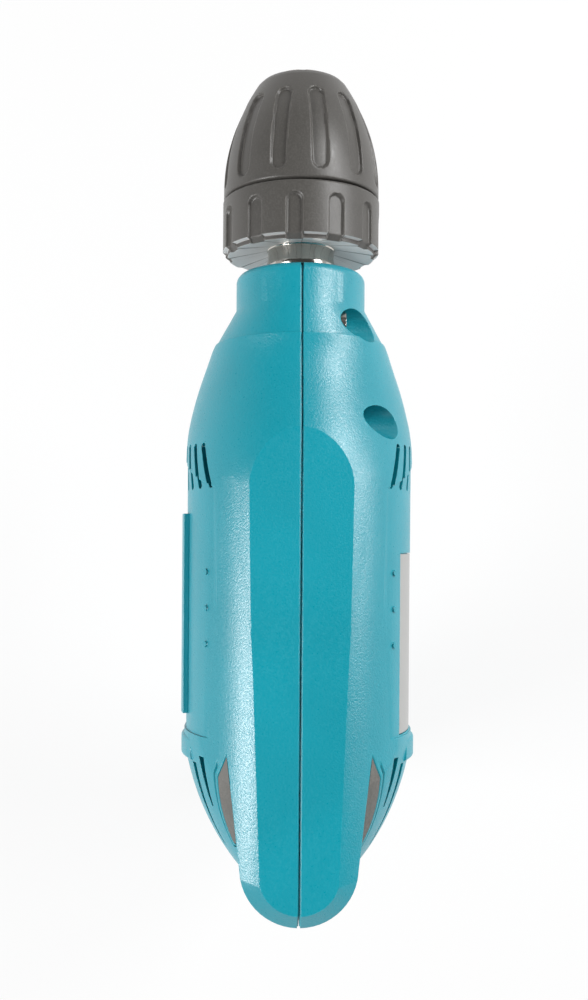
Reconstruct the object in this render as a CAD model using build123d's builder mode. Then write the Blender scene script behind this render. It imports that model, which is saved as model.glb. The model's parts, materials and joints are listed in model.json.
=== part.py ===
"""Pistol-grip power drill with a keyless chuck, as an assembly of separate pieces.

Millimetres. X runs forward along the spindle, Y to the left, Z up. The origin is on the
spindle axis in the front face of the housing collar.
"""
import math
import os

from build123d import *

os.makedirs("parts", exist_ok=True)

# Fits
seam_gap = 0.2
seam_groove_width = 0.8
seam_groove_depth = 0.5
press_gap = 0.02
seat_gap = 0.1
running_gap = 0.05
loose_gap = 0.3

# Housing form
wall = 2.6
collar_radius = 17.6
collar_length = 10.0
collar_round = 2.4
flare_length = 9.0
flare_radius = 23.6
flare_drop = 4.0
flare_step = 0.35
nose_length = 47.5
nose_fullness = 1.65
nose_sections = 8
shoulder_front = 21.0
shoulder_rear = 59.0
barrel_radius = 31.3
barrel_z = -3.0
dome_start = 127.0
dome_mid_x = 149.3
dome_mid_radius = 24.35
dome_end = 167.0
dome_end_radius = 11.7
plateau_height = 27.9
plateau_rise = 1.4
bevel_height = 30.2
bevel_fall = 1.08
bevel_angle = 36.4
facet_lead = 110.0
facet_radius = 1200.0
facet_lead_angle = 1.9
spine_front = 104.0
spine_taper = 7.0
spine_tuck = 0.03
spine_depth = 8.0

# Handle
tail_x = 171.1
tail_width = 30.4
tail_lean = 2.5
tail_bevel_height = 25.5
tail_bevel_side = 7.05
tail_bevel_end = 6.0
tail_bevel_rise = 5.3
web_x = 172.5
web_z = 50.0
handle_width = 34.6
handle_corner = 12.5
handle_front_x = 119.0
handle_root_x = 121.0
crown_z = 5.0
crown_rear_x = 166.0
crown_width = 25.0
crown_corner = 11.0
root_rear_x = 170.5
root_width = 31.0
grip_z = 100.0
grip_rear_x = 172.5
grip_front_x = 127.5
waist_z = 138.0
waist_rear_x = 176.0
waist_front_x = 133.5
foot_z = 160.0
foot_rear_x = 180.0
foot_front_x = 132.0
foot_width = 38.0

# Housing details
panel_front = 60.6
panel_front_low = 50.0
panel_rear = 124.0
panel_depth = 0.5
panel_top = 26.0
panel_front_half = 20.9
panel_rear_half = 19.4
panel_lean = 20.0
lug_front = 125.3
lug_rear = 131.4
lug_height = 0.8
lug_half_span = 12.0
lug_offset = 8.0
dot_first = 80.9
dot_pitch = 9.4
dot_radius = 0.8
dot_height = 0.5
dot_angle = 52.5
left_plate = {"front": 65.5, "rear": 119.5, "low": -15.0, "high": 5.0, "thickness": 1.4}
right_plate = {"front": 76.0, "rear": 123.4, "low": -13.0, "high": 12.5, "thickness": 0.7}
plate_edge = 0.1
pad_depth = 1.6
pad_front = 124.4
pad_rear = 152.5
pad_mid = 139.0
pad_front_height = 24.5
pad_mid_height = 19.9
pad_rear_height = 15.1
pad_spine_gap = 0.12
pad_rim = 0.25
rim_land = 0.5
rim_groove = 0.45
rim_groove_depth = 0.8
dot_count = 3
panel_low = 22.0
front_slots = 6
front_slot_x = 53.0
front_slot_length = 13.0
front_slot_width = 1.8
front_slot_angle = 53.5
front_slot_pitch = 9.2
front_slot_turn = 24.0
front_slot_fade = 3.0
rear_slots = (
    (55.6, 129.3, 13.4),
    (65.0, 131.6, 23.0),
    (83.5, 134.5, 21.0),
    (96.0, 134.5, 19.0),
    (108.5, 134.5, 16.0),
)
rear_slot_width = 2.4
rear_slot_tip = 0.6
rib_width = 2.2
bearing_lip = 1.8
cup_wall = 2.6
shelf_length = 18.0

# Gear train
gear_module = 0.55
pressure_angle = 25.0
pinion_teeth = 8
wheel_teeth = 50
tooth_shift = 0.4
addendum = 0.75
dedendum = 1.0
backlash = 0.12
gear_front = 21.8
gear_width = 7.5
flank_steps = 4
motor_drop = gear_module * (pinion_teeth + wheel_teeth) / 2

# Spindle and its bearings
spindle_tip = 13.2
thread_radius = 4.75
flange_radius = 7.4
gear_seat_radius = 5.6
chuck_screw_radius = 2.5
chuck_screw_depth = 11.0
spindle_radius = 6.0
spindle_tail_radius = 4.0
front_bearing_width = 8.0
front_bearing_radius = 14.0
rear_bush_radius = 6.4
bridge_x = 30.4
bridge_width = 6.0

# Motor
journal_step = 0.5
slot_centre = 12.4
slot_radius = 2.1
slot_mouth = 1.6
fan_hub_radius = 8.0
fan_disc = 1.4
bar_gap = 0.4
bar_gap_depth = 0.8
motor_bearing_radius = 9.5
motor_bearing_width = 6.0
motor_shaft_radius = 4.0
rear_bearing_x = 134.0
fan_front = 47.0
fan_width = 8.0
fan_radius = 25.0
fan_blades = 12
core_front = 63.0
core_length = 40.0
core_radius = 16.0
core_slots = 12
air_gap = 0.5
stator_radius = 27.0
coil_overhang = 7.0
coil_centre = 21.0
coil_radius = 3.2
coil_spread = 42.0
baffle_x = 58.0
baffle_width = 1.6
commutator_front = 113.0
commutator_length = 15.0
commutator_radius = 11.0
commutator_bars = 24
brush_width = 6.0
brush_depth = 9.0
brush_length = 11.0
holder_wall = 1.0
holder_clearance = 1.2
spring_wire = 0.35
spring_radius = 2.2
spring_pitch = 1.5

# Chuck
hub_radius = 9.3
hub_rear = 1.2
hub_rim = 3.0
hub_groove = 0.25
ring_rear = 5.0
ring_front = 19.8
ring_radius = 21.4
sleeve_gap = 0.6
sleeve_front = 52.0
sleeve_front_radius = 12.4
sleeve_mid_x = 41.6
sleeve_mid_radius = 17.4
flute_count = 12
flute_width = 4.2
flute_depth = 0.9
chuck_nose = 53.2
chuck_nose_radius = 9.8
chuck_core_radius = 15.0
nut_rear = 33.4
nut_front = 41.0
socket_radius = 5.25
socket_bottom = 19.0
jaw_radius = 2.8
jaw_angle = 17.0
jaw_nose_offset = 6.2
jaw_rear = 25.5
jaw_count = 3
jaw_front_gap = 0.3
jaw_room = 0.2
groove_radius = 12.6
flange_front = 31.2
flange_width = 1.7
chuck_flange_radius = 18.15
race_radius = 16.7
race_ball = 1.0
race_count = 18
nut_rear_radius = 17.8
nut_front_radius = 15.9
nut_split = 0.1
nose_cone_radius = 12.8
nose_cone_length = 8.6
sleeve_radius = 21.2
sleeve_straight = 2.0
sleeve_bore = 18.2
sleeve_lip = 13.6
sleeve_edge = 1.0
sleeve_flute_rear = 23.0
sleeve_flute_front = 46.0
ring_flute_front = 16.6
ring_edge = 0.8
ring_rear_edge = 1.3
ring_notch_depth = 1.2
ring_notch_width = 6.2
ring_notch_reach = 1.6
ring_web = 3.4
ring_dish = 2.0
flute_turn = 18.0
ring_flute_turn = 6.0
chuck_screw_head = 4.2
chuck_screw_height = 2.8
chuck_screw_recess = 3.0
jaw_open_radius = 5.4

# Controls
trigger_top = 58.0
trigger_bottom = 88.0
trigger_width = 15.0
trigger_travel = 6.5
switch_front = 132.0
switch_length = 25.0
switch_width = 21.0
switch_top = 60.5
switch_height = 34.0
button_x = 146.0
button_z = 70.0
button_radius = 4.2
button_stand = 2.6
button_travel = 2.5
lever_thickness = 3.2
lever_z = 54.0
lever_pivot_x = 140.0
lever_width = 7.0
lever_window = 19.0
lever_cap = 1.0
lever_pin_radius = 1.6
lever_hub_radius = 4.0
lever_tip_x = 112.0
lever_tip_radius = 4.2
stem_z = 73.0
stem_width = 9.0
stem_height = 14.0
stem_reach = 6.0
trigger_depth = 15.0
trigger_hollow = 2.6
trigger_round = 1.8
button_stem_radius = 2.0
button_stem_depth = 2.5
button_round = 0.8
capacitor_length = 16.0
capacitor_width = 13.0
capacitor_height = 22.0
capacitor_round = 2.0
capacitor_x = 153.0
capacitor_bottom = 130.0

# Screws along Y, as (x, z) behind and above the origin
screw_places = (
    (15.6, 11.5),
    (41.6, 15.4),
    (40.5, -37.0),
    (158.0, -9.0),
    (163.5, -66.0),
    (142.0, -146.0),
)
screw_radius = 2.0
screw_head_radius = 3.6
screw_head_height = 2.6
screw_seat = 9.0
screw_length = 19.0
screw_cross = 4.2
screw_cross_width = 0.9
boss_radius = 4.2
access_radius = 4.4
access_wall = 1.2

# Cord inlet
gland_x = 158.0
gland_radius = 8.5
gland_bore = 4.2
gland_flange = 1.6
gland_length = 9.0

motor_z = -motor_drop
tail_bevel_top = barrel_z + tail_bevel_height
nose_start = collar_length + flare_length
far = 400.0


def facet_plane(angle):
    """Plane through the barrel axis whose Y points away from it, turned from upright by angle."""
    lean = math.radians(angle)
    return Plane((0, 0, barrel_z), x_dir=(1, 0, 0), z_dir=(0, -math.cos(lean), math.sin(lean)))


def motor_plane(x):
    """Plane square to the motor axis at distance x behind the origin."""
    return Plane((-x, 0, motor_z), x_dir=(0, 1, 0), z_dir=(1, 0, 0))


def tall_round(radius, upper, lower):
    """Section with straight sides and round ends, centred on two axes one above the other."""
    with Locations((0, (upper + lower) / 2)):
        SlotCenterToCenter(upper - lower, 2 * radius, rotation=90)


def nose_section(x):
    """Radius and the two axis heights of the housing at distance x behind the origin, on its nose."""
    along = min((x - nose_start) / (nose_length - nose_start), 1)
    swell = 1 - (1 - along) ** nose_fullness
    radius = flare_radius + (barrel_radius - flare_radius) * swell
    lower = -flare_drop + (motor_z + flare_drop) * swell
    climb = max((x - shoulder_front) / (shoulder_rear - shoulder_front), 0)
    climb = climb ** 2 * (3 - 2 * climb)
    flare_top = flare_radius - flare_drop
    top = flare_top + (barrel_z + barrel_radius - flare_top) * climb
    return radius, max(top - radius, lower + seat_gap), lower


def handle_section(front, rear, width, corner, inset):
    """Rounded section of the handle between two distances behind the origin."""
    with Locations((-(front + rear) / 2, 0)):
        RectangleRounded(rear - front - 2 * inset, width - 2 * inset, corner - inset)


def tail_section(side_inset, end_inset):
    """Round-ended section of the spine's tail, drawn in at its sides and ends."""
    with Locations((-(handle_root_x + tail_x) / 2, 0)):
        SlotOverall(tail_x - handle_root_x - 2 * end_inset, tail_width - 2 * side_inset)


def barrel_outline(inset):
    """Half outline of the barrel with its domed rear end, drawn in by inset."""
    dome = ThreePointArc(
        (-dome_start, barrel_radius - inset),
        (-dome_mid_x + inset / 2, dome_mid_radius - inset),
        (-dome_end + inset, dome_end_radius - inset),
    )
    Polyline(dome @ 1, (-dome_end + inset, 0), (-shoulder_rear, 0))
    Polyline((-shoulder_rear, 0), (-shoulder_rear, barrel_radius - inset), dome @ 0)


def barrel_form(inset):
    """Barrel, round over its own axis and round under the motor axis, drawn in by inset."""
    with BuildPart() as barrel:
        for height in (barrel_z, motor_z):
            with BuildSketch(Plane((0, 0, height), x_dir=(1, 0, 0), z_dir=(0, -1, 0))):
                with BuildLine():
                    barrel_outline(inset)
                make_face()
            revolve(axis=Axis((0, 0, height), (1, 0, 0)))
        with BuildSketch(Plane.XY.offset(motor_z)):
            with BuildLine():
                barrel_outline(inset)
            make_face()
            mirror(about=Plane.XZ)
        extrude(amount=barrel_z - motor_z)
    return barrel.part


def spine_form(inset):
    """Tapering spine that runs over the barrel into the round tail, drawn in by inset."""
    taper = math.radians(spine_taper)
    low = barrel_z + spine_depth
    with BuildPart() as spine:
        for height in (low, low + barrel_radius):
            lean = tail_lean * (tail_bevel_top - height) / (tail_bevel_top - motor_z)
            radius = tail_width / 2 - lean - spine_tuck - inset
            rear = tail_x - tail_width / 2 + radius * math.sin(taper)
            rear_half = radius * math.cos(taper)
            front_half = rear_half + (rear - spine_front) * math.tan(taper)
            with BuildSketch(Plane.XY.offset(height)):
                with BuildLine():
                    Polyline(
                        (-spine_front, front_half),
                        (-rear, rear_half),
                        (-rear, -rear_half),
                        (-spine_front, -front_half),
                        close=True,
                    )
                make_face()
        loft(ruled=True)
    return spine.part


def envelope(inset):
    """The housing's whole outside form, drawn in by inset on every side."""
    with BuildPart() as form:
        # Collar and flare
        with BuildSketch(Plane.XZ):
            with BuildLine():
                face = Line((-inset, 0), (-inset, collar_radius - collar_round - inset))
                rounding = JernArc(face @ 1, face % 1, collar_round, 90)
                Polyline(
                    rounding @ 1,
                    (-collar_length, collar_radius - inset),
                    (-collar_length, 0),
                    face @ 0,
                )
            make_face()
        revolve(axis=Axis.X)
        with BuildSketch(Plane.YZ.offset(-collar_length)):
            Circle(collar_radius - inset)
        with BuildSketch(Plane.YZ.offset(-collar_length - flare_length)):
            with Locations((0, -flare_drop)):
                Circle(flare_radius - flare_step - inset)
        loft(ruled=True)
        # Nose, swelling to the barrel at the sides and climbing a shoulder on top
        for step in range(nose_sections + 1):
            x = nose_start + (shoulder_rear - nose_start) * step / nose_sections
            radius, upper, lower = nose_section(x)
            with BuildSketch(Plane.YZ.offset(-x)):
                tall_round(radius - inset, upper, lower)
        loft()
        add(barrel_form(inset))
        add(spine_form(inset))
        # Tail of the spine, leaning in below and bevelled above
        levels = (
            ((motor_z, tail_lean, tail_lean), (tail_bevel_top, 0, 0)),
            ((tail_bevel_top, 0, 0), (tail_bevel_top + tail_bevel_rise, tail_bevel_side, tail_bevel_end)),
        )
        for ends in levels:
            for height, side_lean, end_lean in ends:
                with BuildSketch(Plane.XY.offset(height)):
                    tail_section(side_lean + inset, end_lean + inset)
            loft(ruled=True)
        # Handle
        sections = (
            (crown_z, handle_root_x, crown_rear_x, crown_width, crown_corner),
            (motor_z, handle_root_x, root_rear_x, root_width, handle_corner),
            (-web_z, handle_front_x, web_x, handle_width, handle_corner),
            (-grip_z, grip_front_x, grip_rear_x, handle_width, handle_corner),
            (-waist_z, waist_front_x, waist_rear_x, handle_width, handle_corner),
            (-foot_z + inset, foot_front_x, foot_rear_x, foot_width, handle_corner),
        )
        for height, front, rear, width, corner in sections:
            with BuildSketch(Plane.XY.offset(height)):
                handle_section(front, rear, width, corner, inset)
        loft()
        # Flat top, whose front is the arch where it meets the shoulder
        with BuildSketch(facet_plane(0)):
            with BuildLine():
                Polyline(
                    (-tail_x - wall, plateau_height + plateau_rise - inset),
                    (0, plateau_height - inset),
                    (0, 2 * barrel_radius),
                    (-tail_x - wall, 2 * barrel_radius),
                    close=True,
                )
            make_face()
        extrude(amount=barrel_radius, both=True, mode=Mode.SUBTRACT)
        # Bevels beside it, each led in from the nose by an arc
        for angle in (bevel_angle, -bevel_angle):
            with BuildSketch(facet_plane(angle)):
                with BuildLine():
                    flat = Line(
                        (-tail_x - wall, bevel_height - bevel_fall - inset),
                        (-facet_lead, bevel_height - inset),
                    )
                    lead = JernArc(flat @ 1, flat % 1, facet_radius, facet_lead_angle)
                    Polyline(
                        lead @ 1,
                        lead @ 1 + (0, barrel_radius),
                        (-tail_x - wall, 2 * barrel_radius),
                        flat @ 0,
                    )
                make_face()
            extrude(amount=barrel_radius, both=True, mode=Mode.SUBTRACT)
    return form.part


def barrel_shell(inner, outer, front, rear):
    """Band of the barrel between two radii and two distances behind the origin."""
    with BuildPart() as shell:
        for radius, mode in ((outer, Mode.ADD), (inner, Mode.SUBTRACT)):
            with BuildSketch(Plane.YZ.offset(-rear)):
                tall_round(radius, barrel_z, motor_z)
            extrude(amount=rear - front, mode=mode)
    return shell.part


def plate_form(plate, inner, outer, margin, side):
    """Plate bent round one side of the barrel between two radii, grown by margin round its edge."""
    front = plate["front"] - margin
    rear = plate["rear"] + margin
    low = plate["low"] - margin
    high = plate["high"] + margin
    with BuildPart() as form:
        add(barrel_shell(inner, outer, front, rear))
        with Locations((-(front + rear) / 2, side * outer / 2, (low + high) / 2)):
            Box(rear - front, outer, high - low, mode=Mode.INTERSECT)
    return form.part


def pad_form(depth, proud, rim, spine_gap, side):
    """Leaf-shaped patch of the dome beside the spine, grown by rim round its outer edge."""
    with BuildPart() as leaf:
        with BuildSketch(facet_plane(0)):
            with BuildLine():
                edge = ThreePointArc(
                    (-pad_front + rim, pad_front_height - rim),
                    (-pad_mid, pad_mid_height - rim),
                    (-pad_rear - rim, pad_rear_height - rim),
                )
                Polyline(
                    edge @ 1,
                    (-pad_rear - rim, barrel_radius),
                    (-pad_front + rim, barrel_radius),
                    edge @ 0,
                )
            make_face()
        extrude(amount=-side * barrel_radius)
        add(barrel_form(-proud), mode=Mode.INTERSECT)
        add(barrel_form(depth), mode=Mode.SUBTRACT)
        add(spine_form(-spine_gap), mode=Mode.SUBTRACT)
    return leaf.part


def pad_groove(side):
    """Fine groove in the dome beside the outer edge of a thumb pad."""
    inner = pad_rim + rim_land
    with BuildPart() as groove:
        add(pad_form(rim_groove_depth, lug_height, inner + rim_groove, 0, side))
        add(pad_form(pad_depth, 2 * lug_height, inner, 0, side), mode=Mode.SUBTRACT)
    return groove.part


def radial_plane(angle, x, distance):
    """Plane square to the direction at angle from upright about the barrel axis."""
    lean = math.radians(angle)
    out = Vector(0, math.sin(lean), math.cos(lean))
    return Plane(Vector(-x, 0, barrel_z) + out * distance, x_dir=(1, 0, 0), z_dir=out)


outer_form = envelope(0)
inner_form = envelope(wall)
seat_form = envelope(wall + seat_gap)
screw_points = [(-x, z) for x, z in screw_places]

# Space inside the housing, less the bosses and ribs that stand in it
with BuildPart() as cavity:
    add(inner_form)
    with BuildSketch(Plane.XZ):
        with Locations(*screw_points):
            Circle(boss_radius)
    extrude(amount=barrel_radius, both=True, mode=Mode.SUBTRACT)
    with BuildSketch(Plane.XZ.offset(screw_seat - access_wall)):
        with Locations(*screw_points):
            Circle(access_radius + access_wall)
    extrude(amount=barrel_radius, mode=Mode.SUBTRACT)
    # Seat and retaining rib of the front spindle bearing
    with BuildSketch(Plane.YZ.offset(-wall - front_bearing_width)):
        Circle(collar_radius)
        Circle(front_bearing_radius + press_gap, mode=Mode.SUBTRACT)
    extrude(amount=front_bearing_width, mode=Mode.SUBTRACT)
    with BuildSketch(Plane.YZ.offset(-wall - front_bearing_width)):
        Circle(collar_radius)
        Circle(front_bearing_radius - bearing_lip, mode=Mode.SUBTRACT)
    extrude(amount=-rib_width, mode=Mode.SUBTRACT)
    # Ribs round the stator
    for x in (core_front + rib_width, core_front + core_length - 2 * rib_width):
        with BuildSketch(Plane.YZ.offset(-x - rib_width)):
            with Locations((0, motor_z)):
                Rectangle(2 * barrel_radius, 2 * barrel_radius)
                Circle(stator_radius + press_gap, mode=Mode.SUBTRACT)
        extrude(amount=rib_width, mode=Mode.SUBTRACT)
    # Cup and webs that carry the rear motor bearing
    with BuildSketch(Plane.YZ.offset(-rear_bearing_x)):
        with Locations((0, motor_z)):
            Circle(motor_bearing_radius + cup_wall)
            Rectangle(2 * barrel_radius, 2 * rib_width)
            Circle(motor_bearing_radius + press_gap, mode=Mode.SUBTRACT)
    extrude(amount=-motor_bearing_width, mode=Mode.SUBTRACT)
    with BuildSketch(Plane.YZ.offset(-rear_bearing_x - motor_bearing_width)):
        with Locations((0, motor_z)):
            Circle(motor_bearing_radius + cup_wall)
            Circle(motor_bearing_radius - bearing_lip, mode=Mode.SUBTRACT)
    extrude(amount=-rib_width, mode=Mode.SUBTRACT)
    # Shelves under the switch and the capacitor
    shelves = (
        (switch_front + switch_length / 2, switch_top + switch_height),
        (capacitor_x, capacitor_bottom),
    )
    for x, z in shelves:
        with BuildSketch(Plane.XY.offset(-z)):
            with Locations((-x, 0)):
                Rectangle(shelf_length, foot_width)
        extrude(amount=-rib_width, mode=Mode.SUBTRACT)

# Lugs, bent more tightly than the barrel so that they rise out of its sides
lug_radius = barrel_radius + lug_height - lug_offset
with BuildPart() as lugs:
    for side in (1, -1):
        lug_plane = Plane((0, side * lug_offset, barrel_z), x_dir=(1, 0, 0), z_dir=(0, -1, 0))
        with BuildSketch(lug_plane):
            with Locations((-(lug_front + lug_rear) / 2, lug_radius - wall / 2)):
                RectangleRounded(lug_rear - lug_front, wall, wall / 2 - loose_gap)
        revolve(axis=Axis(lug_plane.origin, (1, 0, 0)))
    with Locations((-(lug_front + lug_rear) / 2, 0, barrel_z)):
        Box(far, far, 2 * lug_half_span, mode=Mode.INTERSECT)
        Box(far, 2 * (barrel_radius - 2 * wall), far, mode=Mode.SUBTRACT)

# Shallow set-in side panels
with BuildPart() as panels:
    add(barrel_shell(barrel_radius - panel_depth, barrel_radius + wall, panel_front_low, panel_rear))
    with BuildSketch(Plane.XZ):
        with BuildLine():
            Polyline(
                (-panel_front_low, motor_z - panel_low),
                (-panel_front_low, barrel_z),
                (-panel_front, barrel_z + panel_top),
                (-panel_rear, barrel_z + panel_top),
                (-panel_rear, motor_z - panel_low),
                close=True,
            )
        make_face()
    extrude(amount=far, both=True, mode=Mode.INTERSECT)
    # Upper edges, leaning out below the level of the panels' tops
    lean_run = panel_top * math.tan(math.radians(panel_lean))
    for height, run in ((barrel_z, lean_run), (barrel_z + panel_top, 0)):
        with BuildSketch(Plane.XY.offset(height)):
            with BuildLine():
                Polyline(
                    (-panel_front_low, panel_front_half + run),
                    (-panel_rear - wall, panel_rear_half + run),
                    (-panel_rear - wall, -panel_rear_half - run),
                    (-panel_front_low, -panel_front_half - run),
                    close=True,
                )
            make_face()
    loft(ruled=True, mode=Mode.SUBTRACT)

with BuildPart() as seam_groove:
    with Locations((-foot_rear_x / 2, 0, 0)):
        Box(far, seam_groove_width, far)
    add(envelope(seam_groove_depth), mode=Mode.SUBTRACT)

panel_radius = barrel_radius - panel_depth
right_floor = panel_radius - plate_edge - right_plate["thickness"]

with BuildPart() as housing:
    add(outer_form)
    add(lugs.part)
    add(cavity.part, mode=Mode.SUBTRACT)
    add(panels.part, mode=Mode.SUBTRACT)
    # Three small raised dots on each side
    for side in (1, -1):
        for step in range(dot_count):
            spot = radial_plane(side * dot_angle, dot_first + step * dot_pitch, panel_radius - dot_height)
            with Locations(spot):
                Cylinder(dot_radius, 4 * dot_height)
    # Recess for the right plate
    add(plate_form(right_plate, right_floor, barrel_radius, loose_gap, -1), mode=Mode.SUBTRACT)
    # Recesses for the thumb pads
    for side in (1, -1):
        add(pad_form(pad_depth, lug_height, pad_rim, 0, side), mode=Mode.SUBTRACT)
        add(pad_groove(side), mode=Mode.SUBTRACT)
    # Outlet slots beside the fan and inlet slots in the dome
    for side in (1, -1):
        for step in range(front_slots):
            lean = side * (front_slot_angle + step * front_slot_pitch)
            turn = side * (front_slot_turn - step * front_slot_fade)
            with BuildSketch(radial_plane(lean, front_slot_x, barrel_radius - 2 * wall)):
                SlotOverall(front_slot_length, front_slot_width, rotation=turn)
            extrude(amount=4 * wall, mode=Mode.SUBTRACT)
        for angle, front, length in rear_slots:
            with BuildSketch(radial_plane(side * angle, front, dome_end_radius)):
                with BuildLine():
                    Polyline(
                        (0, rear_slot_width / 2),
                        (-length, rear_slot_tip / 2),
                        (-length, -rear_slot_tip / 2),
                        (0, -rear_slot_width / 2),
                        close=True,
                    )
                make_face()
            extrude(amount=barrel_radius, mode=Mode.SUBTRACT)
    # Way through for the spindle
    with BuildSketch(Plane.YZ):
        Circle(hub_radius)
    extrude(amount=-2 * wall, mode=Mode.SUBTRACT)
    with BuildSketch(Plane.YZ.offset(-wall)):
        Circle(front_bearing_radius + press_gap)
    extrude(amount=-front_bearing_width, mode=Mode.SUBTRACT)
    # Opening for the trigger and the reverse lever
    with BuildSketch(Plane.YZ.offset(-switch_front)):
        with Locations((0, -(trigger_top + trigger_bottom) / 2)):
            Rectangle(trigger_width + 2 * loose_gap, trigger_bottom - trigger_top + 2 * loose_gap)
        with Locations((0, -lever_z - lever_thickness / 2)):
            Rectangle(lever_window, lever_thickness + 2 * loose_gap)
    extrude(amount=switch_front - handle_front_x + wall, mode=Mode.SUBTRACT)
    # Access holes, screw holes, lock button hole and cord inlet
    with BuildSketch(Plane.XZ.offset(screw_seat)):
        with Locations(*screw_points):
            Circle(access_radius)
    extrude(amount=barrel_radius, mode=Mode.SUBTRACT)
    with BuildSketch(Plane.XZ.offset(screw_seat)):
        with Locations(*screw_points):
            Circle(screw_radius + press_gap)
    extrude(amount=-screw_length - loose_gap, mode=Mode.SUBTRACT)
    with BuildSketch(Plane.XZ.offset(-switch_width / 2 - loose_gap)):
        with Locations((-button_x, -button_z)):
            Circle(button_radius + running_gap)
    extrude(amount=-handle_width, mode=Mode.SUBTRACT)
    with BuildSketch(Plane.XY.offset(-foot_z)):
        with Locations((-gland_x, 0)):
            Circle(gland_radius + press_gap)
    extrude(amount=2 * wall, mode=Mode.SUBTRACT)
    add(seam_groove.part, mode=Mode.SUBTRACT)

with BuildPart() as housing_left:
    add(housing.part)
    split(bisect_by=Plane.XZ.offset(-seam_gap / 2), keep=Keep.BOTTOM)
housing_left.part.label = "housing_left"
export_step(housing_left.part, "parts/housing_left.step")

with BuildPart() as housing_right:
    add(housing.part)
    split(bisect_by=Plane.XZ.offset(seam_gap / 2), keep=Keep.TOP)
housing_right.part.label = "housing_right"
export_step(housing_right.part, "parts/housing_right.step")

sides = (("left", 1, left_plate, panel_radius), ("right", -1, right_plate, right_floor))
for side_name, side, plate_size, floor in sides:
    plate = plate_form(plate_size, floor + press_gap, floor + plate_size["thickness"], 0, side)
    plate.label = f"name_plate_{side_name}"
    export_step(plate, f"parts/name_plate_{side_name}.step")
    with BuildPart() as pad:
        add(pad_form(pad_depth - press_gap, 0, 0, pad_spine_gap, side))
        add(outer_form, mode=Mode.INTERSECT)
    pad.part.label = f"thumb_pad_{side_name}"
    export_step(pad.part, f"parts/thumb_pad_{side_name}.step")


def involute(angle):
    return math.tan(angle) - angle


def gear_points(teeth, shift, first_angle):
    """Outline of a spur gear whose first tooth points along first_angle."""
    pitch_radius = gear_module * teeth / 2
    slope = math.radians(pressure_angle)
    base = pitch_radius * math.cos(slope)
    root = pitch_radius - gear_module * (dedendum - shift)
    tip = pitch_radius + gear_module * (addendum + shift)
    thickness = gear_module * (math.pi / 2 + 2 * shift * math.tan(slope)) - backlash / 2
    half = thickness / (2 * pitch_radius) + involute(slope)
    start = max(base, root)
    radii = [start + (tip - start) * step / flank_steps for step in range(flank_steps + 1)]
    flank = [(radius, half - involute(math.acos(base / radius))) for radius in radii]
    if root < base:
        flank.insert(0, (root, half))
    points = []
    for tooth in range(teeth):
        centre = math.radians(first_angle) + 2 * math.pi * tooth / teeth
        sides = [(radius, centre - spread) for radius, spread in flank]
        sides += [(radius, centre + spread) for radius, spread in reversed(flank)]
        points += [(radius * math.cos(turn), radius * math.sin(turn)) for radius, turn in sides]
    return points


def turned(profile, z=0):
    """Solid turned about an axis along X at height z, from (x, radius) corners."""
    with BuildPart() as solid:
        with BuildSketch(Plane((0, 0, z), x_dir=(1, 0, 0), z_dir=(0, -1, 0))):
            with BuildLine():
                Polyline(*profile, close=True)
            make_face()
        revolve(axis=Axis((0, 0, z), (1, 0, 0)))
    return solid.part


def tube(front, length, inner, outer, z=0):
    """Tube along X that starts at distance front behind the origin."""
    rear = -front - length
    return turned([(-front, inner), (-front, outer), (rear, outer), (rear, inner)], z)


def save(part, name):
    part.label = name
    export_step(part, f"parts/{name}.step")


def ball_bearing(name, front, width, bore, outer, z):
    """Write a bearing as an outer ring with its balls, and an inner ring."""
    ring = (outer - bore) / 4
    track = outer - ring
    ball = (track - bore - ring - loose_gap) / 2
    centre = track - ball - press_gap
    count = int(math.pi * centre / (ball + loose_gap))
    with BuildPart() as fixed:
        add(tube(front, width, track, outer, z))
        with Locations(Plane.YZ.offset(-front - width / 2)):
            with Locations((0, z)):
                with PolarLocations(centre, count):
                    Sphere(ball)
    save(fixed.part, f"{name}_outer")
    save(tube(front, width, bore + press_gap, bore + ring, z), f"{name}_inner")


# Spindle and its gear
bridge_rear = bridge_x + bridge_width
gear_rear = gear_front + gear_width
with BuildPart() as spindle:
    add(
        turned([
            (spindle_tip, 0), (spindle_tip, thread_radius), (hub_rear - loose_gap, thread_radius),
            (hub_rear - loose_gap, flange_radius), (-wall, flange_radius), (-wall, spindle_radius),
            (-gear_front, spindle_radius), (-gear_front, gear_seat_radius), (-gear_rear, gear_seat_radius),
            (-gear_rear, spindle_tail_radius), (-bridge_rear, spindle_tail_radius), (-bridge_rear, 0),
        ])
    )
    with BuildSketch(Plane.YZ.offset(spindle_tip)):
        Circle(chuck_screw_radius + press_gap)
    extrude(amount=-chuck_screw_depth, mode=Mode.SUBTRACT)
save(spindle.part, "spindle")

with BuildPart() as spindle_gear:
    with BuildSketch(Plane.YZ.offset(-gear_rear)):
        with BuildLine():
            Polyline(*gear_points(wheel_teeth, -tooth_shift, -90), close=True)
        make_face()
        Circle(gear_seat_radius + press_gap, mode=Mode.SUBTRACT)
    extrude(amount=gear_width)
save(spindle_gear.part, "spindle_gear")

ball_bearing("spindle_bearing", wall, front_bearing_width, spindle_radius, front_bearing_radius, 0)
save(tube(bridge_x, bridge_width, spindle_tail_radius + running_gap, rear_bush_radius), "spindle_bush")

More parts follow.
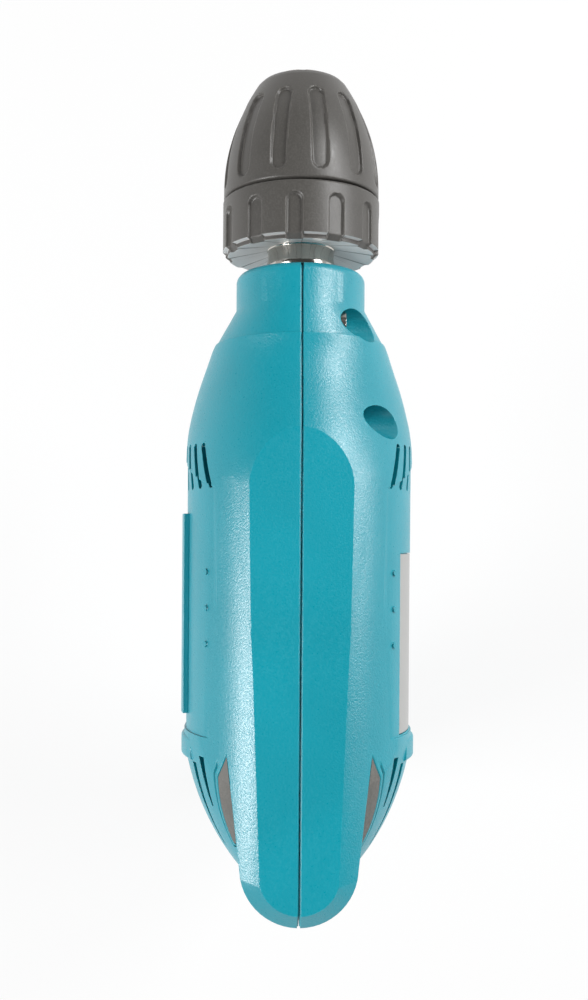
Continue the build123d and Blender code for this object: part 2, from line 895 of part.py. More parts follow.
# Bridge that carries the rear of the spindle and the front of the motor
with BuildPart() as bearing_bridge:
    add(seat_form)
    with Locations((-bridge_rear, 0, 0)):
        Box(bridge_width, far, far, align=(Align.MIN, Align.CENTER, Align.CENTER), mode=Mode.INTERSECT)
    with BuildSketch(Plane.YZ.offset(-bridge_rear)):
        Circle(rear_bush_radius + press_gap)
        with Locations((0, motor_z)):
            Circle(motor_bearing_radius + press_gap)
    extrude(amount=bridge_width, mode=Mode.SUBTRACT)
    with BuildSketch(Plane.XZ):
        with Locations(*screw_points):
            Circle(access_radius + access_wall + loose_gap)
    extrude(amount=barrel_radius, both=True, mode=Mode.SUBTRACT)
save(bearing_bridge.part, "bearing_bridge")

# Armature
core_rear = core_front + core_length
rear_bearing_rear = rear_bearing_x + motor_bearing_width
journal_radius = motor_shaft_radius - journal_step
shaft_bore = motor_shaft_radius + press_gap
with BuildPart() as armature_shaft:
    add(
        turned([
            (-bridge_x + loose_gap, 0), (-bridge_x + loose_gap, journal_radius),
            (-bridge_rear, journal_radius), (-bridge_rear, motor_shaft_radius),
            (-rear_bearing_x, motor_shaft_radius), (-rear_bearing_x, journal_radius),
            (-rear_bearing_rear, journal_radius), (-rear_bearing_rear, 0),
        ], motor_z)
    )
    with BuildSketch(motor_plane(bridge_x)):
        with BuildLine():
            Polyline(*gear_points(pinion_teeth, tooth_shift, 90 + 180 / pinion_teeth), close=True)
        make_face()
    extrude(amount=bridge_x - gear_front)
save(armature_shaft.part, "armature_shaft")
for name, front in (("motor_bearing_front", bridge_x), ("motor_bearing_rear", rear_bearing_x)):
    ball_bearing(name, front, motor_bearing_width, journal_radius, motor_bearing_radius, motor_z)

with BuildPart() as armature_core:
    with BuildSketch(Plane.YZ.offset(-core_rear)):
        with Locations((0, motor_z)):
            Circle(core_radius)
            Circle(shaft_bore, mode=Mode.SUBTRACT)
            with PolarLocations(slot_centre, core_slots):
                Circle(slot_radius, mode=Mode.SUBTRACT)
            with PolarLocations(core_radius, core_slots):
                Rectangle(2 * (core_radius - slot_centre), slot_mouth, mode=Mode.SUBTRACT)
    extrude(amount=core_length)
save(armature_core.part, "armature_core")

wire_radius = slot_radius - loose_gap
with BuildPart() as armature_winding:
    with BuildSketch(Plane.YZ.offset(-core_rear - coil_overhang)):
        with Locations((0, motor_z)):
            with PolarLocations(slot_centre, core_slots):
                Circle(wire_radius)
    extrude(amount=core_length + 2 * coil_overhang)
    for front in (core_front - coil_overhang, core_rear + press_gap):
        length = coil_overhang - press_gap
        add(tube(front, length, motor_shaft_radius + loose_gap, slot_centre + slot_radius, motor_z))
save(armature_winding.part, "armature_winding")

with BuildPart() as commutator:
    add(tube(commutator_front, commutator_length, shaft_bore, commutator_radius, motor_z))
    with BuildSketch(Plane.YZ.offset(-commutator_front - commutator_length)):
        with Locations((0, motor_z)):
            with PolarLocations(commutator_radius, commutator_bars):
                Rectangle(2 * bar_gap_depth, bar_gap)
    extrude(amount=commutator_length, mode=Mode.SUBTRACT)
save(commutator.part, "commutator")

with BuildPart() as fan:
    add(tube(fan_front, fan_width, shaft_bore, fan_hub_radius, motor_z))
    add(tube(fan_front + fan_width - fan_disc, fan_disc, shaft_bore, fan_radius, motor_z))
    with BuildSketch(Plane.YZ.offset(-fan_front - fan_width)):
        blade = fan_radius - fan_hub_radius + fan_disc
        with Locations((0, motor_z)):
            with PolarLocations(fan_radius - blade / 2, fan_blades):
                Rectangle(blade, fan_disc)
    extrude(amount=fan_width)
save(fan.part, "fan")

# Stator, its coils and the air baffle
with BuildPart() as stator_core:
    with BuildSketch(Plane.YZ.offset(-core_rear)):
        with Locations((0, motor_z)):
            Circle(stator_radius)
            Circle(core_radius + air_gap, mode=Mode.SUBTRACT)
            with PolarLocations(coil_centre, 2, start_angle=90 - coil_spread):
                Circle(coil_radius + loose_gap, mode=Mode.SUBTRACT)
            with PolarLocations(coil_centre, 2, start_angle=90 + coil_spread):
                Circle(coil_radius + loose_gap, mode=Mode.SUBTRACT)
    extrude(amount=core_length)
save(stator_core.part, "stator_core")

for name, lean in (("upper", 90), ("lower", -90)):
    with BuildPart() as field_coil:
        with BuildSketch(motor_plane(core_rear + coil_overhang)):
            for turn in (lean - coil_spread, lean + coil_spread):
                with PolarLocations(coil_centre, 1, start_angle=turn):
                    Circle(coil_radius)
        extrude(amount=core_length + 2 * coil_overhang)
        for front in (core_front - coil_overhang, core_rear + press_gap):
            with BuildSketch(motor_plane(front + coil_overhang - press_gap)):
                with BuildLine():
                    CenterArc((0, 0), coil_centre, lean - coil_spread, 2 * coil_spread)
                trace(line_width=2 * coil_radius)
            extrude(amount=coil_overhang - press_gap)
    save(field_coil.part, f"field_coil_{name}")

with BuildPart() as fan_baffle:
    add(seat_form)
    with Locations((-baffle_x, 0, motor_z)):
        Box(baffle_width, far, far, mode=Mode.INTERSECT)
        baffle_bore = coil_centre + coil_radius + 2 * loose_gap
        Cylinder(baffle_bore, far, rotation=(0, 90, 0), mode=Mode.SUBTRACT)
save(fan_baffle.part, "fan_baffle")

# Brush gear, one set on each side of the commutator
brush_x = commutator_front + commutator_length / 2
holder_end = math.sqrt((barrel_radius - wall) ** 2 - (brush_width / 2 + holder_wall) ** 2) - loose_gap
holder_start = commutator_radius + holder_clearance
brush_start = commutator_radius + press_gap
spring_room = holder_end - holder_wall - brush_start - brush_length
for side_name, side in (("left", 1), ("right", -1)):
    base = Plane((-brush_x, 0, motor_z), x_dir=(1, 0, 0), z_dir=(0, side, 0))
    with BuildPart() as brush_holder:
        with BuildSketch(base.offset(holder_start)):
            Rectangle(brush_depth + 2 * holder_wall, brush_width + 2 * holder_wall)
        extrude(amount=holder_end - holder_start)
        with BuildSketch(base.offset(holder_start)):
            Rectangle(brush_depth + 2 * running_gap, brush_width + 2 * running_gap)
        extrude(amount=holder_end - holder_wall - holder_start, mode=Mode.SUBTRACT)
    save(brush_holder.part, f"brush_holder_{side_name}")
    with BuildPart() as carbon_brush:
        with BuildSketch(base.offset(brush_start)):
            Rectangle(brush_depth, brush_width)
        extrude(amount=brush_length)
    save(carbon_brush.part, f"carbon_brush_{side_name}")
    with BuildPart() as brush_spring:
        foot = base.offset(brush_start + brush_length + spring_wire + press_gap).origin
        with BuildLine():
            coil = Helix(
                spring_pitch, spring_room - 2 * spring_wire - loose_gap, spring_radius,
                center=foot, direction=(0, side, 0),
            )
        with BuildSketch(Plane(coil @ 0, z_dir=coil % 0)):
            Circle(spring_wire)
        sweep(path=coil)
    save(brush_spring.part, f"brush_spring_{side_name}")

# Switch, with the lever pin on top
with BuildPart() as switch_body:
    with Locations((-switch_front - switch_length / 2, 0, -switch_top - switch_height / 2)):
        Box(switch_length, switch_width, switch_height)
    with BuildSketch(Plane.YZ.offset(-switch_front)):
        with Locations((0, -stem_z)):
            Rectangle(stem_width + 2 * loose_gap, stem_height + 2 * loose_gap)
    extrude(amount=-stem_reach - trigger_travel - loose_gap, mode=Mode.SUBTRACT)
    with BuildSketch(Plane.XZ.offset(-switch_width / 2)):
        with Locations((-button_x, -button_z)):
            Circle(button_stem_radius + running_gap)
    extrude(amount=button_stem_depth + button_travel + loose_gap, mode=Mode.SUBTRACT)
    with BuildSketch(Plane.XY.offset(-switch_top)):
        with Locations((-lever_pivot_x, 0)):
            Circle(lever_pin_radius)
    extrude(amount=switch_top - lever_z - lever_cap)
save(switch_body.part, "switch_body")

with BuildPart() as trigger:
    paddle_rear = switch_front - trigger_travel - loose_gap
    tip_x = paddle_rear - trigger_depth
    with BuildSketch(Plane.XZ):
        with BuildLine():
            top = Line((-paddle_rear, -trigger_top), (-tip_x, -trigger_top))
            lip = Line((-tip_x - trigger_hollow, -trigger_bottom), (-paddle_rear, -trigger_bottom))
            Spline(top @ 1, (-tip_x - trigger_hollow, -(trigger_top + trigger_bottom) / 2), lip @ 0)
            Line(lip @ 1, top @ 0)
        make_face()
    extrude(amount=trigger_width / 2, both=True)
    fillet(trigger.edges().filter_by(Plane.XZ).group_by(Axis.X)[-2:], trigger_round)
    with BuildSketch(Plane.YZ.offset(-paddle_rear)):
        with Locations((0, -stem_z)):
            Rectangle(stem_width, stem_height)
    extrude(amount=paddle_rear - switch_front - stem_reach)
save(trigger.part, "trigger")

with BuildPart() as lock_button:
    button_top = handle_width / 2 + button_stand
    button_floor = switch_width / 2 + button_travel + loose_gap
    with BuildSketch(Plane.XZ.offset(-button_floor)):
        with Locations((-button_x, -button_z)):
            Circle(button_radius)
    extrude(amount=button_floor - button_top)
    fillet(lock_button.edges().group_by(Axis.Y)[-1], button_round)
    with BuildSketch(Plane.XZ.offset(-button_floor)):
        with Locations((-button_x, -button_z)):
            Circle(button_stem_radius)
    extrude(amount=button_floor - switch_width / 2 + button_stem_depth)
save(lock_button.part, "lock_button")

with BuildPart() as reverse_lever:
    lever_reach = lever_pivot_x - lever_tip_x
    with BuildSketch(Plane.XY.offset(-lever_z - lever_thickness)):
        with Locations((-lever_pivot_x + lever_reach / 2, 0)):
            Rectangle(lever_reach, lever_width)
        with Locations((-lever_pivot_x, 0)):
            Circle(lever_hub_radius)
        with Locations((-lever_tip_x, 0)):
            Circle(lever_tip_radius)
    extrude(amount=lever_thickness)
    with BuildSketch(Plane.XY.offset(-lever_z - lever_thickness)):
        with Locations((-lever_pivot_x, 0)):
            Circle(lever_hub_radius)
    extrude(amount=-(switch_top - lever_z - lever_thickness - running_gap))
    with BuildSketch(Plane.XY.offset(-switch_top)):
        with Locations((-lever_pivot_x, 0)):
            Circle(lever_pin_radius + running_gap)
    extrude(amount=switch_top - lever_z - lever_cap + running_gap, mode=Mode.SUBTRACT)
save(reverse_lever.part, "reverse_lever")

with BuildPart() as capacitor:
    with Locations((-capacitor_x, 0, -capacitor_bottom)):
        Box(
            capacitor_length, capacitor_width, capacitor_height,
            align=(Align.CENTER, Align.CENTER, Align.MIN),
        )
    fillet(capacitor.edges().filter_by(Axis.Z), capacitor_round)
save(capacitor.part, "capacitor")

with BuildPart() as cord_gland:
    with BuildSketch(Plane.XY.offset(-foot_z)):
        with Locations((-gland_x, 0)):
            Circle(gland_radius)
    extrude(amount=gland_length)
    with BuildSketch(Plane.XY.offset(-foot_z + wall + press_gap)):
        with Locations((-gland_x, 0)):
            Circle(gland_radius + gland_flange)
    extrude(amount=gland_flange)
    with BuildSketch(Plane.XY.offset(-foot_z)):
        with Locations((-gland_x, 0)):
            Circle(gland_bore)
    extrude(amount=gland_length, mode=Mode.SUBTRACT)
save(cord_gland.part, "cord_gland")

with BuildPart() as housing_screws:
    with BuildSketch(Plane.XZ.offset(screw_seat)):
        with Locations(*screw_points):
            Circle(screw_radius)
    extrude(amount=-screw_length)
    with BuildSketch(Plane.XZ.offset(screw_seat + press_gap)):
        with Locations(*screw_points):
            Circle(screw_head_radius)
    extrude(amount=screw_head_height - press_gap)
    with BuildSketch(Plane.XZ.offset(screw_seat)):
        with Locations(*screw_points):
            Circle(screw_radius)
    extrude(amount=screw_head_height / 2)
    with BuildSketch(Plane.XZ.offset(screw_seat + screw_head_height)):
        with Locations(*screw_points):
            Rectangle(screw_cross, screw_cross_width)
            Rectangle(screw_cross_width, screw_cross)
    extrude(amount=-screw_head_height / 2, mode=Mode.SUBTRACT)
save(housing_screws.part, "housing_screws")

# Chuck
jaw_lean = math.radians(jaw_angle)
jaw_slope = math.tan(jaw_lean)
jaw_front = chuck_nose - jaw_front_gap


def jaw_line(x):
    """Distance of a jaw's own axis from the spindle axis at x."""
    return jaw_nose_offset + (chuck_nose - x) * jaw_slope


def jaw_plane(turn):
    """Plane square to a jaw's axis at the jaw's rear end, its Z pointing along the jaw."""
    around = math.radians(turn)
    out = Vector(0, math.sin(around), math.cos(around))
    along = Vector(math.cos(jaw_lean), 0, 0) - out * math.sin(jaw_lean)
    across = Vector(0, math.cos(around), -math.sin(around))
    return Plane(Vector(jaw_rear, 0, 0) + out * jaw_line(jaw_rear), x_dir=across, z_dir=along)


jaw_turns = [360 * step / jaw_count for step in range(jaw_count)]
web_front = ring_rear + ring_web
dish_floor = ring_rear + ring_dish
screw_floor = socket_bottom - chuck_screw_recess
cone_front = nut_front + sleeve_gap + nose_cone_length
with BuildPart() as chuck_body:
    add(
        turned([
            (hub_rear, 0), (hub_rear, hub_radius - ring_edge),
            (hub_rear + hub_groove, hub_radius - hub_groove), (hub_rear + hub_rim / 3, hub_radius),
            (hub_rear + 2 * hub_rim / 3, hub_radius), (hub_rear + hub_rim, hub_radius - hub_groove),
            (dish_floor - loose_gap, hub_radius - hub_groove), (dish_floor, hub_radius),
            (web_front + press_gap, hub_radius), (web_front + press_gap, chuck_core_radius),
            (flange_front - flange_width, chuck_core_radius),
            (flange_front - flange_width, chuck_flange_radius),
            (flange_front, chuck_flange_radius), (flange_front, groove_radius),
            (nut_front + sleeve_gap, groove_radius), (nut_front + sleeve_gap, nose_cone_radius),
            (cone_front, chuck_nose_radius), (chuck_nose - ring_edge, chuck_nose_radius),
            (chuck_nose, chuck_nose_radius - ring_edge), (chuck_nose, 0),
        ])
    )
    with BuildSketch(Plane.YZ.offset(hub_rear)):
        Circle(thread_radius + press_gap)
    extrude(amount=spindle_tip - hub_rear + loose_gap, mode=Mode.SUBTRACT)
    with BuildSketch(Plane.YZ.offset(hub_rear)):
        Circle(chuck_screw_radius + press_gap)
    extrude(amount=chuck_nose, mode=Mode.SUBTRACT)
    with BuildSketch(Plane.YZ.offset(screw_floor)):
        Circle(chuck_screw_head + loose_gap)
    extrude(amount=chuck_screw_recess, mode=Mode.SUBTRACT)
    with BuildSketch(Plane.YZ.offset(socket_bottom)):
        Circle(socket_radius)
    extrude(amount=chuck_nose, mode=Mode.SUBTRACT)
    for turn in jaw_turns:
        with BuildSketch(jaw_plane(turn).offset(-loose_gap)):
            Circle(jaw_radius + running_gap)
        extrude(amount=chuck_nose, mode=Mode.SUBTRACT)
save(chuck_body.part, "chuck_body")

for number, turn in enumerate(jaw_turns, start=1):
    with BuildPart() as jaw:
        with BuildSketch(jaw_plane(turn)):
            Circle(jaw_radius)
        extrude(amount=chuck_nose)
        with Locations((jaw_front, 0, 0)):
            Box(far, far, far, align=(Align.MIN, Align.CENTER, Align.CENTER), mode=Mode.SUBTRACT)
        around = math.radians(turn)
        out = Vector(0, math.sin(around), math.cos(around))
        across = Vector(0, math.cos(around), -math.sin(around))
        apex = out * jaw_open_radius
        with BuildSketch(Plane(apex, x_dir=across, z_dir=(-1, 0, 0))):
            with BuildLine():
                Polyline(
                    (0, 0),
                    (far, -far / math.tan(math.pi / jaw_count)),
                    (far, far),
                    (-far, far),
                    (-far, -far / math.tan(math.pi / jaw_count)),
                    close=True,
                )
            make_face()
        extrude(amount=far, both=True, mode=Mode.SUBTRACT)
    save(jaw.part, f"jaw_{number}")

with BuildPart() as jaw_nut:
    add(
        turned([
            (nut_rear, jaw_line(nut_rear) + jaw_radius / math.cos(jaw_lean) + jaw_room),
            (nut_rear, nut_rear_radius), (nut_front, nut_front_radius),
            (nut_front, jaw_line(nut_front) + jaw_radius / math.cos(jaw_lean) + jaw_room),
        ])
    )
    with Locations((nut_rear, 0, 0)):
        Box(far, nut_split, far, mode=Mode.SUBTRACT)
save(jaw_nut.part, "jaw_nut")

with BuildPart() as thrust_balls:
    with Locations(Plane.YZ.offset(flange_front + race_ball + press_gap)):
        with PolarLocations(race_radius, race_count):
            Sphere(race_ball)
save(thrust_balls.part, "thrust_balls")

save(
    turned([
        (spindle_tip - chuck_screw_depth + loose_gap, 0),
        (spindle_tip - chuck_screw_depth + loose_gap, chuck_screw_radius),
        (screw_floor, chuck_screw_radius), (screw_floor, chuck_screw_head),
        (screw_floor + chuck_screw_height, chuck_screw_head),
        (screw_floor + chuck_screw_height, 0),
    ]),
    "chuck_screw",
)


def sleeve_form(inset):
    """Outside of the front sleeve, drawn in by inset."""
    rear = ring_front + sleeve_gap
    with BuildPart() as form:
        with BuildSketch(Plane.XZ):
            with BuildLine():
                side = Line((rear, sleeve_radius - inset), (rear + sleeve_straight, sleeve_radius - inset))
                curve = ThreePointArc(
                    side @ 1,
                    (sleeve_mid_x, sleeve_mid_radius - inset),
                    (sleeve_front - sleeve_edge, sleeve_front_radius - inset),
                )
                Polyline(
                    curve @ 1,
                    (sleeve_front, sleeve_front_radius - sleeve_edge - inset),
                    (sleeve_front, 0), (rear, 0), side @ 0,
                )
            make_face()
        revolve(axis=Axis.X)
    return form.part


def flute_cutter(rear, front, turn):
    """Round-ended bars standing round the chuck, evenly spaced from turn."""
    with BuildPart() as bars:
        for step in range(flute_count):
            around = math.radians(turn + 360 * step / flute_count)
            out = Vector(0, math.sin(around), math.cos(around))
            foot = Vector((rear + front) / 2, 0, 0) + out * hub_radius
            with BuildSketch(Plane(foot, x_dir=(1, 0, 0), z_dir=out)):
                SlotOverall(front - rear, flute_width)
            extrude(amount=ring_radius)
    return bars.part


with BuildPart() as sleeve_flutes:
    add(flute_cutter(sleeve_flute_rear, sleeve_flute_front, flute_turn))
    add(sleeve_form(flute_depth), mode=Mode.SUBTRACT)

with BuildPart() as chuck_sleeve:
    add(sleeve_form(0))
    add(
        turned([
            (0, 0), (0, sleeve_bore), (nut_rear, sleeve_bore), (nut_rear, nut_rear_radius + press_gap),
            (nut_front + press_gap, nut_front_radius + press_gap), (nut_front + press_gap, sleeve_lip),
            (nut_front + sleeve_gap, sleeve_lip), (cone_front, chuck_nose_radius + loose_gap),
            (chuck_nose, chuck_nose_radius + loose_gap), (chuck_nose, 0),
        ]),
        mode=Mode.SUBTRACT,
    )
    add(sleeve_flutes.part, mode=Mode.SUBTRACT)
save(chuck_sleeve.part, "chuck_sleeve")

with BuildPart() as ring_flutes:
    add(flute_cutter(-ring_front, ring_flute_front, ring_flute_turn))
    add(tube(-2 * ring_front, 3 * ring_front, 0, ring_radius - flute_depth), mode=Mode.SUBTRACT)

with BuildPart() as chuck_ring:
    add(
        turned([
            (dish_floor, hub_radius + press_gap), (ring_rear, ring_radius - ring_rear_edge),
            (ring_rear + ring_rear_edge, ring_radius), (ring_front, ring_radius),
            (ring_front, chuck_core_radius + press_gap), (web_front, chuck_core_radius + press_gap),
            (web_front, hub_radius + press_gap),
        ])
    )
    add(ring_flutes.part, mode=Mode.SUBTRACT)
    with Locations(Plane.YZ.offset(ring_rear)):
        first_notch = 90 - ring_flute_turn + 180 / flute_count
        with PolarLocations(ring_radius, flute_count, start_angle=first_notch):
            Box(2 * ring_notch_reach, ring_notch_width, 2 * ring_notch_depth, mode=Mode.SUBTRACT)
save(chuck_ring.part, "chuck_ring")
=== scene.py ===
"""Dresses the power drill: moulded shell, keyless chuck, controls, motor and a pale studio.

Metres, in the part's own frame: X forward along the spindle, Y to the left, Z up.
"""

import json
import math

import bmesh
import bpy
from bpy.props import FloatProperty, FloatVectorProperty, IntProperty, PointerProperty
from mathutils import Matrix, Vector

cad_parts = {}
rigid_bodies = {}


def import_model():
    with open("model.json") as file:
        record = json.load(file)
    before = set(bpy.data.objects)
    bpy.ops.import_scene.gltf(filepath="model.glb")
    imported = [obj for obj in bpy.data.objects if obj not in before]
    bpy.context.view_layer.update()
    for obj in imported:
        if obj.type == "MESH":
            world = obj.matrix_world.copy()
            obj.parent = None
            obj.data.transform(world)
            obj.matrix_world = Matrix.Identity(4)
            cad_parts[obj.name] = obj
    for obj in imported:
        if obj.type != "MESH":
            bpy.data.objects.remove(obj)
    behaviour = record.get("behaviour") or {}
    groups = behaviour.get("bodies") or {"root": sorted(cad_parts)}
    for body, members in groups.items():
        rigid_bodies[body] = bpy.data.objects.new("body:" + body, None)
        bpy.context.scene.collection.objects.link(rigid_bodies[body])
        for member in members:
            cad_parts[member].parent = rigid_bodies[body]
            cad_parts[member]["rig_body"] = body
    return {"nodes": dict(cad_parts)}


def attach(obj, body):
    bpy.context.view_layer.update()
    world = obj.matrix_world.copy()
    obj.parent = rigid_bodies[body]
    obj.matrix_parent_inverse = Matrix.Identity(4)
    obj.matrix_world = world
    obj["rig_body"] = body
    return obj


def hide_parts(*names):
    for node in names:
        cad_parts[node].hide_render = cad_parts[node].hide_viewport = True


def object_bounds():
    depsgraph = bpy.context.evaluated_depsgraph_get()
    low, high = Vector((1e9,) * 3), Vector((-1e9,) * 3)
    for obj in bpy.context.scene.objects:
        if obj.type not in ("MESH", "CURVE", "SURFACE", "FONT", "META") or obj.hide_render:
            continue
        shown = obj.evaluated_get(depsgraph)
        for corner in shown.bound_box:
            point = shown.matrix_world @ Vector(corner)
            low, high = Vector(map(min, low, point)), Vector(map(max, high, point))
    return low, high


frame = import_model()
cad_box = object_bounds()

bl_info = {
    "name": "Power drill",
    "version": (1, 0, 0),
    "blender": (4, 5, 0),
    "location": "View3D > Sidebar > Drill",
    "description": "Dresses the pieces of a corded pistol-grip drill and sets its studio",
    "category": "Object",
}

MERGE_DISTANCE = 1e-6
FULL_TURN = 2 * math.pi

# What counts as a broad flat patch, and the turn at its edge that stays hard
FLAT_ANGLE = math.radians(0.1)
CREASE_ANGLE = math.radians(1.5)
BROAD_AREA = 0.00035
STRAIGHT = 0.95

# Slanted flats beside the spine, by the upward and forward parts of their normals
BEVEL_SLANT = (0.77, 0.85)
BEVEL_RUN = 0.06
BARREL_AXIS = -0.003

# Fineness of the turned sleeves
TURNED_STEPS = 540
TURNED_SPACING = 0.00035
TURNED_CREASE = 50

# Outlines of the chuck's sleeves as (x, radius) corners, and how many first edges are finely divided
SLEEVE_OUTLINE = (
    (0.0204, 0.02085), (0.02075, 0.0212), (0.0224, 0.0212), (0.0510, 0.0124), (0.0520, 0.0114),
    (0.0520, 0.0101), (0.0502, 0.0101), (0.0416, 0.0136), (0.04102, 0.0136), (0.04102, 0.01592),
    (0.0334, 0.01782), (0.0334, 0.0182), (0.0204, 0.0182),
)
SLEEVE_FINE = 4
RING_OUTLINE = (
    (0.0050, 0.0201), (0.0063, 0.0214), (0.0195, 0.0214), (0.0198, 0.0211),
    (0.0198, 0.01502), (0.0084, 0.01502), (0.0084, 0.00932), (0.0070, 0.00932),
)
RING_FINE = 3

# Power by which the front sleeve's side curves in, and the reach and turn of its flutes
SLEEVE_BOW = 2.107
SLEEVE_FLUTES = (0.0230, 0.0460)
SLEEVE_TURN = math.radians(18)

# Front end and turn of the ring's flutes, and the notch in the rear edge of each land
RING_FLUTE_FRONT = 0.0166
RING_TURN = math.radians(6)
NOTCH_FRONT = 0.0062
NOTCH_HALF = 0.0031

# Density of the stipple, and the length of one band of a wave texture at scale 1
STIPPLES_PER_METRE = 900
WAVE_LENGTH = 0.314

# Size of uneven patches, in grains of moulded plastic and in rings of turned steel
PLASTIC_PATCH = 60
STEEL_PATCH = 20

# Soft boxes as (name, place from the part's middle, size, watts)
SOFT_BOXES = (
    ("left_rear_box", (-0.25, 0.80, 0.60), (0.38, 0.38), 9.2),
    ("right_front_box", (0.55, -0.62, 0.65), (0.35, 0.30), 6.2),
    ("right_box", (0.15, -0.85, 0.52), (0.40, 0.40), 5.0),
    ("rear_box", (-0.85, -0.15, 0.50), (0.50, 0.50), 0.7),
)
FLOOR_REACH = 3.0

# Upward parts of the directions where the studio's walls end and its ceiling starts
WALLS_END = 0.28
CEILING_START = 0.50

# Picture's long side in pixels, and the sensor's width in millimetres
PHOTO_LONG_SIDE = 1000
SENSOR = 36.0


# Sizes and finishes that a user would change


class ShellLook(bpy.types.PropertyGroup):
    """Finish of the moulded housing halves"""

    colour: FloatVectorProperty(
        name="Colour", description="Moulded colour of the housing",
        subtype="COLOR", default=(0.0004, 0.295, 0.378), min=0, max=1,
    )
    # Pale colour of the rubbed edges, partly a painted highlight along them, and of the grain's speckles
    pale: FloatVectorProperty(
        name="Pale colour", description="Colour where handling has rubbed the edges",
        subtype="COLOR", default=(0.004, 0.400, 0.490), min=0, max=1,
    )
    grain: FloatProperty(
        name="Grain", description="Size of the moulded grain",
        unit="LENGTH", default=0.00048, min=0.0001, max=0.005,
    )
    grain_height: FloatProperty(
        name="Grain height", description="Depth of the moulded grain",
        unit="LENGTH", default=0.00008, min=0, max=0.001,
    )
    roughness: FloatProperty(
        name="Roughness", description="Roughness of the moulded surface",
        subtype="FACTOR", default=0.34, min=0, max=1,
    )
    gloss: FloatProperty(
        name="Gloss", description="Strength of the moulded surface's reflections",
        subtype="FACTOR", default=0.85, min=0, max=1,
    )
    edge: FloatProperty(
        name="Edge", description="Radius that softens the shell's sharp edges",
        unit="LENGTH", default=0.0003, min=0, max=0.005,
    )


class ChuckLook(bpy.types.PropertyGroup):
    """Finish of the chuck"""

    colour: FloatVectorProperty(
        name="Colour", description="Colour of the chuck's sleeves",
        subtype="COLOR", default=(0.080, 0.076, 0.070), min=0, max=1,
    )
    # Light grey painted on the black ring's rear face, a painted reflection of the studio light on that
    # face
    dish_painted_reflection: FloatVectorProperty(
        name="Dish", description="Colour of the ring's dished rear face",
        subtype="COLOR", default=(0.60, 0.60, 0.60), min=0, max=1,
    )
    steel: FloatVectorProperty(
        name="Steel", description="Colour of the polished steel",
        subtype="COLOR", default=(0.66, 0.63, 0.58), min=0, max=1,
    )
    grain: FloatProperty(
        name="Grain", description="Size of the sleeves' moulded grain",
        unit="LENGTH", default=0.00045, min=0.0001, max=0.005,
    )
    turning: FloatProperty(
        name="Turning marks", description="Spacing of the turning marks on steel",
        unit="LENGTH", default=0.0004, min=0.0001, max=0.005,
    )
    flutes: IntProperty(
        name="Flutes", description="Number of grip flutes round each sleeve", default=12, min=3,
    )
    flute_width: FloatProperty(
        name="Flute width", description="Width of a grip flute", unit="LENGTH", default=0.0042, min=0.001,
    )
    flute_depth: FloatProperty(
        name="Flute depth", description="Depth of a grip flute", unit="LENGTH", default=0.0009, min=0,
    )
    flute_lip: FloatProperty(
        name="Flute lip", description="Half width of the rounding along a flute's edge",
        unit="LENGTH", default=0.00022, min=0.00001,
    )


class TrimLook(bpy.types.PropertyGroup):
    """Finish of the small outside pieces"""

    control: FloatVectorProperty(
        name="Controls", description="Colour of the trigger, button and lever",
        subtype="COLOR", default=(0.022, 0.022, 0.024), min=0, max=1,
    )
    pad: FloatVectorProperty(
        name="Pads", description="Colour of the soft thumb pads",
        subtype="COLOR", default=(0.165, 0.162, 0.150), min=0, max=1,
    )
    plate: FloatVectorProperty(
        name="Plates", description="Colour of the bare side plates",
        subtype="COLOR", default=(0.55, 0.55, 0.54), min=0, max=1,
    )


class StudioLook(bpy.types.PropertyGroup):
    """Camera, floor and light"""

    camera_height: FloatProperty(
        name="Camera height", description="Height of the camera above the spindle",
        unit="LENGTH", default=0.290,
    )
    camera_back: FloatProperty(
        name="Camera back", description="Distance of the camera behind the collar",
        unit="LENGTH", default=0.0725,
    )
    camera_left: FloatProperty(
        name="Camera left", description="Distance of the camera to the left of the seam",
        unit="LENGTH", default=0.008,
    )
    focal_pixels: FloatProperty(
        name="Focal length", description="Focal length in pixels of the picture",
        subtype="PIXEL", default=1053,
    )
    roll: FloatProperty(
        name="Roll", description="Turn of the picture", subtype="ANGLE", default=math.radians(0.4),
    )
    shift_across: FloatProperty(
        name="Shift across", description="Sideways shift of the lens", default=0.0243,
    )
    shift_up: FloatProperty(name="Shift up", description="Upward shift of the lens", default=0.040)
    floor: FloatProperty(
        name="Floor grey", description="Paleness of the floor",
        subtype="FACTOR", default=0.82, min=0, max=1,
    )
    floor_glow: FloatProperty(
        name="Floor glow", description="Share of plain white in the floor that is seen",
        subtype="FACTOR", default=0.86, min=0, max=1,
    )
    walls: FloatProperty(
        name="Walls", description="Brightness of the studio near the horizon", default=0.55, min=0,
    )
    ceiling: FloatProperty(
        name="Ceiling", description="Brightness of the studio overhead", default=0.06, min=0,
    )


def look(name):
    """Settings group of that name on the scene."""
    return getattr(bpy.context.scene, name)


# Materials


def new_material(name):
    """Material with a Principled surface; returns it with its tree and shader."""
    material = bpy.data.materials.new(name)
    material.use_nodes = True
    tree = material.node_tree
    return material, tree, tree.nodes["Principled BSDF"]


def object_place(tree, scale=(1, 1, 1)):
    """Mapped Object coordinates."""
    place = tree.nodes.new("ShaderNodeTexCoord")
    mapping = tree.nodes.new("ShaderNodeMapping")
    mapping.inputs["Scale"].default_value = scale
    tree.links.new(place.outputs["Object"], mapping.inputs["Vector"])
    return mapping.outputs["Vector"]


def noise(tree, place, size, detail=2.0):
    """Noise whose features are about that size."""
    texture = tree.nodes.new("ShaderNodeTexNoise")
    texture.inputs["Scale"].default_value = 1 / size
    texture.inputs["Detail"].default_value = detail
    tree.links.new(place, texture.inputs["Vector"])
    return texture.outputs["Fac"]


def ramp(tree, value, stops):
    """Colour ramp through (place, colour) stops."""
    node = tree.nodes.new("ShaderNodeValToRGB")
    band = node.color_ramp
    while len(band.elements) < len(stops):
        band.elements.new(0.5)
    for element, (place, colour) in zip(band.elements, stops):
        element.position = place
        element.color = (*colour, 1)
    tree.links.new(value, node.inputs["Fac"])
    return node.outputs["Color"]


